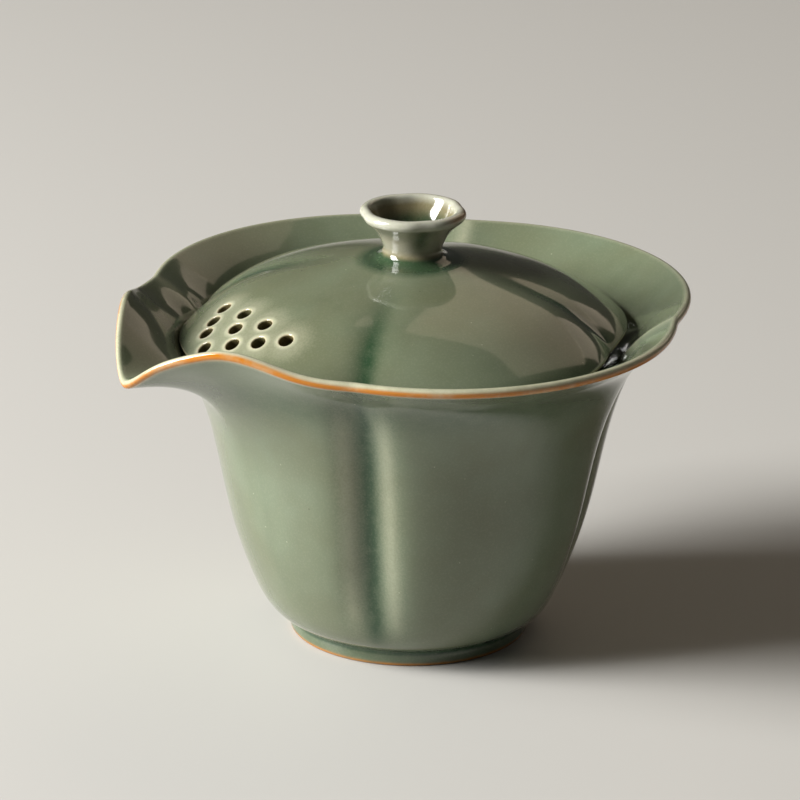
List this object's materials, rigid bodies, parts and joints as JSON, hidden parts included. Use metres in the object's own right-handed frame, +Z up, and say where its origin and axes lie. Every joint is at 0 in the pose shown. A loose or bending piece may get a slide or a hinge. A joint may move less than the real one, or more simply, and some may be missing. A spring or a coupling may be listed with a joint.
{
  "type": "gaiwan",
  "caption": "Lidded tea bowl with a lobed, flared rim, a drawn-out pouring lip, a ring foot and a domed strainer lid with a hollow trumpet knob.",
  "frame": {"origin": "centre of the foot ring, on the surface that the bowl stands on", "axes": "+Z up, through the knob; the pouring lip points along -X; +Y completes the right-handed frame"},
  "size_m": [0.1151, 0.1074, 0.082],
  "materials": {
    "bowl_glaze": "glossy translucent celadon glaze, sage green, deeper green where it pools in the grooves, pale cream with an orange-brown line where it thins at the rim",
    "lid_glaze": "glossy translucent celadon glaze, pale cream round the strainer holes, dark green round the knob's foot",
    "knob_glaze": "glossy celadon glaze, pale cream on the lobed rim, dark green in the hollow and at the neck"
  },
  "bodies": {
    "bowl": {"bowl": "bowl_glaze"},
    "lid": {"lid": "lid_glaze", "lid_knob": "knob_glaze"}
  },
  "joints": [
    {"name": "lid_lift", "type": "slide", "parent": "bowl", "child": "lid", "axis": [0, 0, 1], "range_m": [0, 0.06]}
  ]
}
